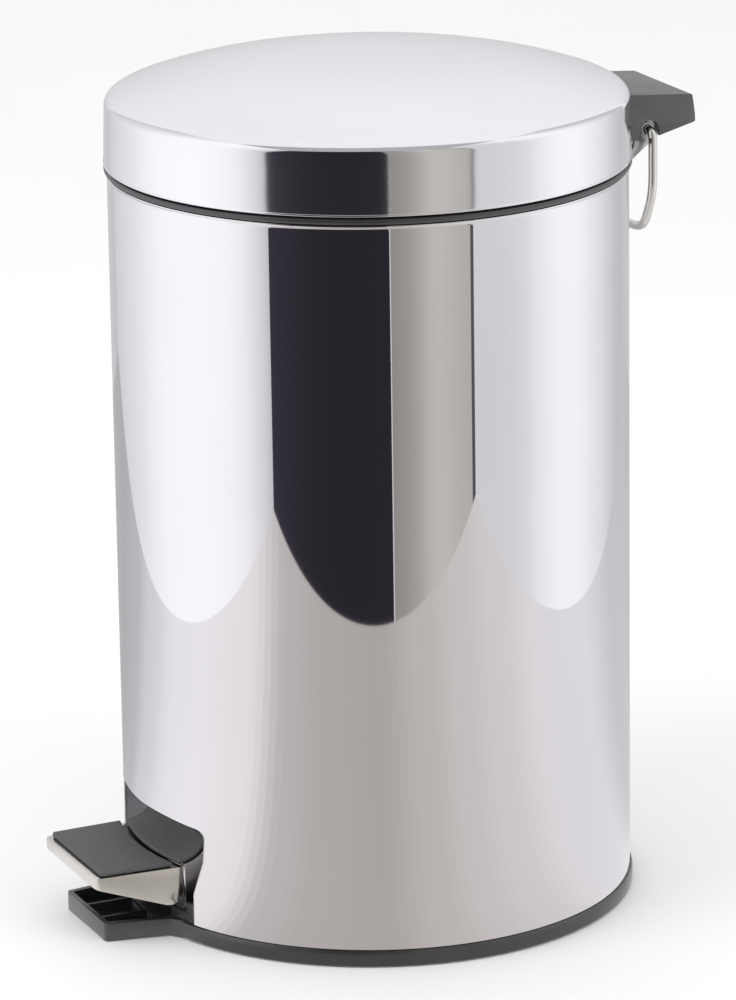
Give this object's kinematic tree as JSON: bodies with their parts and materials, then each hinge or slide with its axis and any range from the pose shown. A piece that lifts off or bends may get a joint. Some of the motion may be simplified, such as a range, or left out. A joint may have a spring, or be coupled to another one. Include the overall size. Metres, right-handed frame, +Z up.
{
  "type": "pedal bin",
  "caption": "Round steel pedal bin with a domed lid hinged at the back, a front pedal linked to it by a lever and push rod, a lift-out bucket and a wire carry handle.",
  "frame": {"origin": "on the floor, on the axis of the round body", "axes": "+Z up along the axis of the body, -Y towards the pedal, +Y towards the hinge, +X to the right seen from the front"},
  "size_m": [0.2534, 0.3242, 0.4145],
  "materials": {
    "polished_steel": "polished stainless steel, mirror bright",
    "lid_steel": "polished stainless steel, slightly satin on the dome",
    "plain_steel": "plain bright steel",
    "chrome": "bright chrome",
    "galvanised_steel": "dull galvanised",
    "black_plastic": "fine satin black",
    "housing_plastic": "satin dark grey, fine grain",
    "rubber": "dark grey rubber with a fine leather-like grain"
  },
  "bodies": {
    "bin": {"base_moulding": "black_plastic", "non_slip_ring": "rubber", "body_shell": "polished_steel", "toe_recess": "polished_steel", "rim_ring": "black_plastic", "hinge_bracket": "plain_steel", "bracket_rivet_1": "plain_steel", "bracket_rivet_2": "plain_steel", "bracket_rivet_3": "plain_steel", "bracket_rivet_4": "plain_steel", "hinge_pin": "plain_steel", "pivot_pin": "plain_steel", "pivot_clip_left": "plain_steel", "pivot_clip_right": "plain_steel", "guard_cover": "chrome", "guard_pad": "rubber", "rod_guide_lower": "black_plastic", "rod_guide_upper": "black_plastic"},
    "lid": {"lid_shell": "lid_steel", "hinge_housing": "housing_plastic", "lid_crank": "plain_steel", "housing_screw_1": "plain_steel", "housing_screw_2": "plain_steel"},
    "pedal": {"pedal_cover": "chrome", "pedal_pad": "rubber", "pedal_lever": "plain_steel", "pedal_screw_1": "plain_steel", "pedal_screw_2": "plain_steel"},
    "rod": {"push_rod": "plain_steel", "rod_head": "plain_steel"},
    "handle": {"carry_handle": "chrome"},
    "bucket": {"bucket": "galvanised_steel", "bail_ear_left": "galvanised_steel", "bail_ear_right": "galvanised_steel"},
    "bail": {"bail_wire": "galvanised_steel", "bail_grip": "black_plastic"}
  },
  "joints": [
    {"name": "lid_hinge", "type": "hinge", "parent": "bin", "child": "lid", "pos_m": [0, 0.136, 0.3708], "axis": [-1, 0, 0], "range_deg": [0, 74]},
    {"name": "pedal_pivot", "type": "hinge", "parent": "bin", "child": "pedal", "pos_m": [0, -0.075, 0.015], "axis": [1, 0, 0], "range_deg": [0, 8.4]},
    {"name": "rod_slide", "type": "slide", "parent": "bin", "child": "rod", "axis": [0, 0, 1], "range_m": [0, 0.0278]},
    {"name": "handle_swing", "type": "hinge", "parent": "bin", "child": "handle", "pos_m": [0, 0.136, 0.3708], "axis": [1, 0, 0], "range_deg": [-6, 100]},
    {"name": "bucket_lift", "type": "slide", "parent": "bin", "child": "bucket", "axis": [0, 0, 1], "range_m": [0, 0.012]},
    {"name": "bail_hinge", "type": "hinge", "parent": "bucket", "child": "bail", "pos_m": [0, 0, 0.3666], "axis": [-1, 0, 0], "range_deg": [0, 9]}
  ],
  "couplings": [
    {"joint": "pedal_pivot", "follows": "lid_hinge", "ratio": 0.11304},
    {"joint": "rod_slide", "follows": "lid_hinge", "m_per_rad": 0.021434}
  ]
}
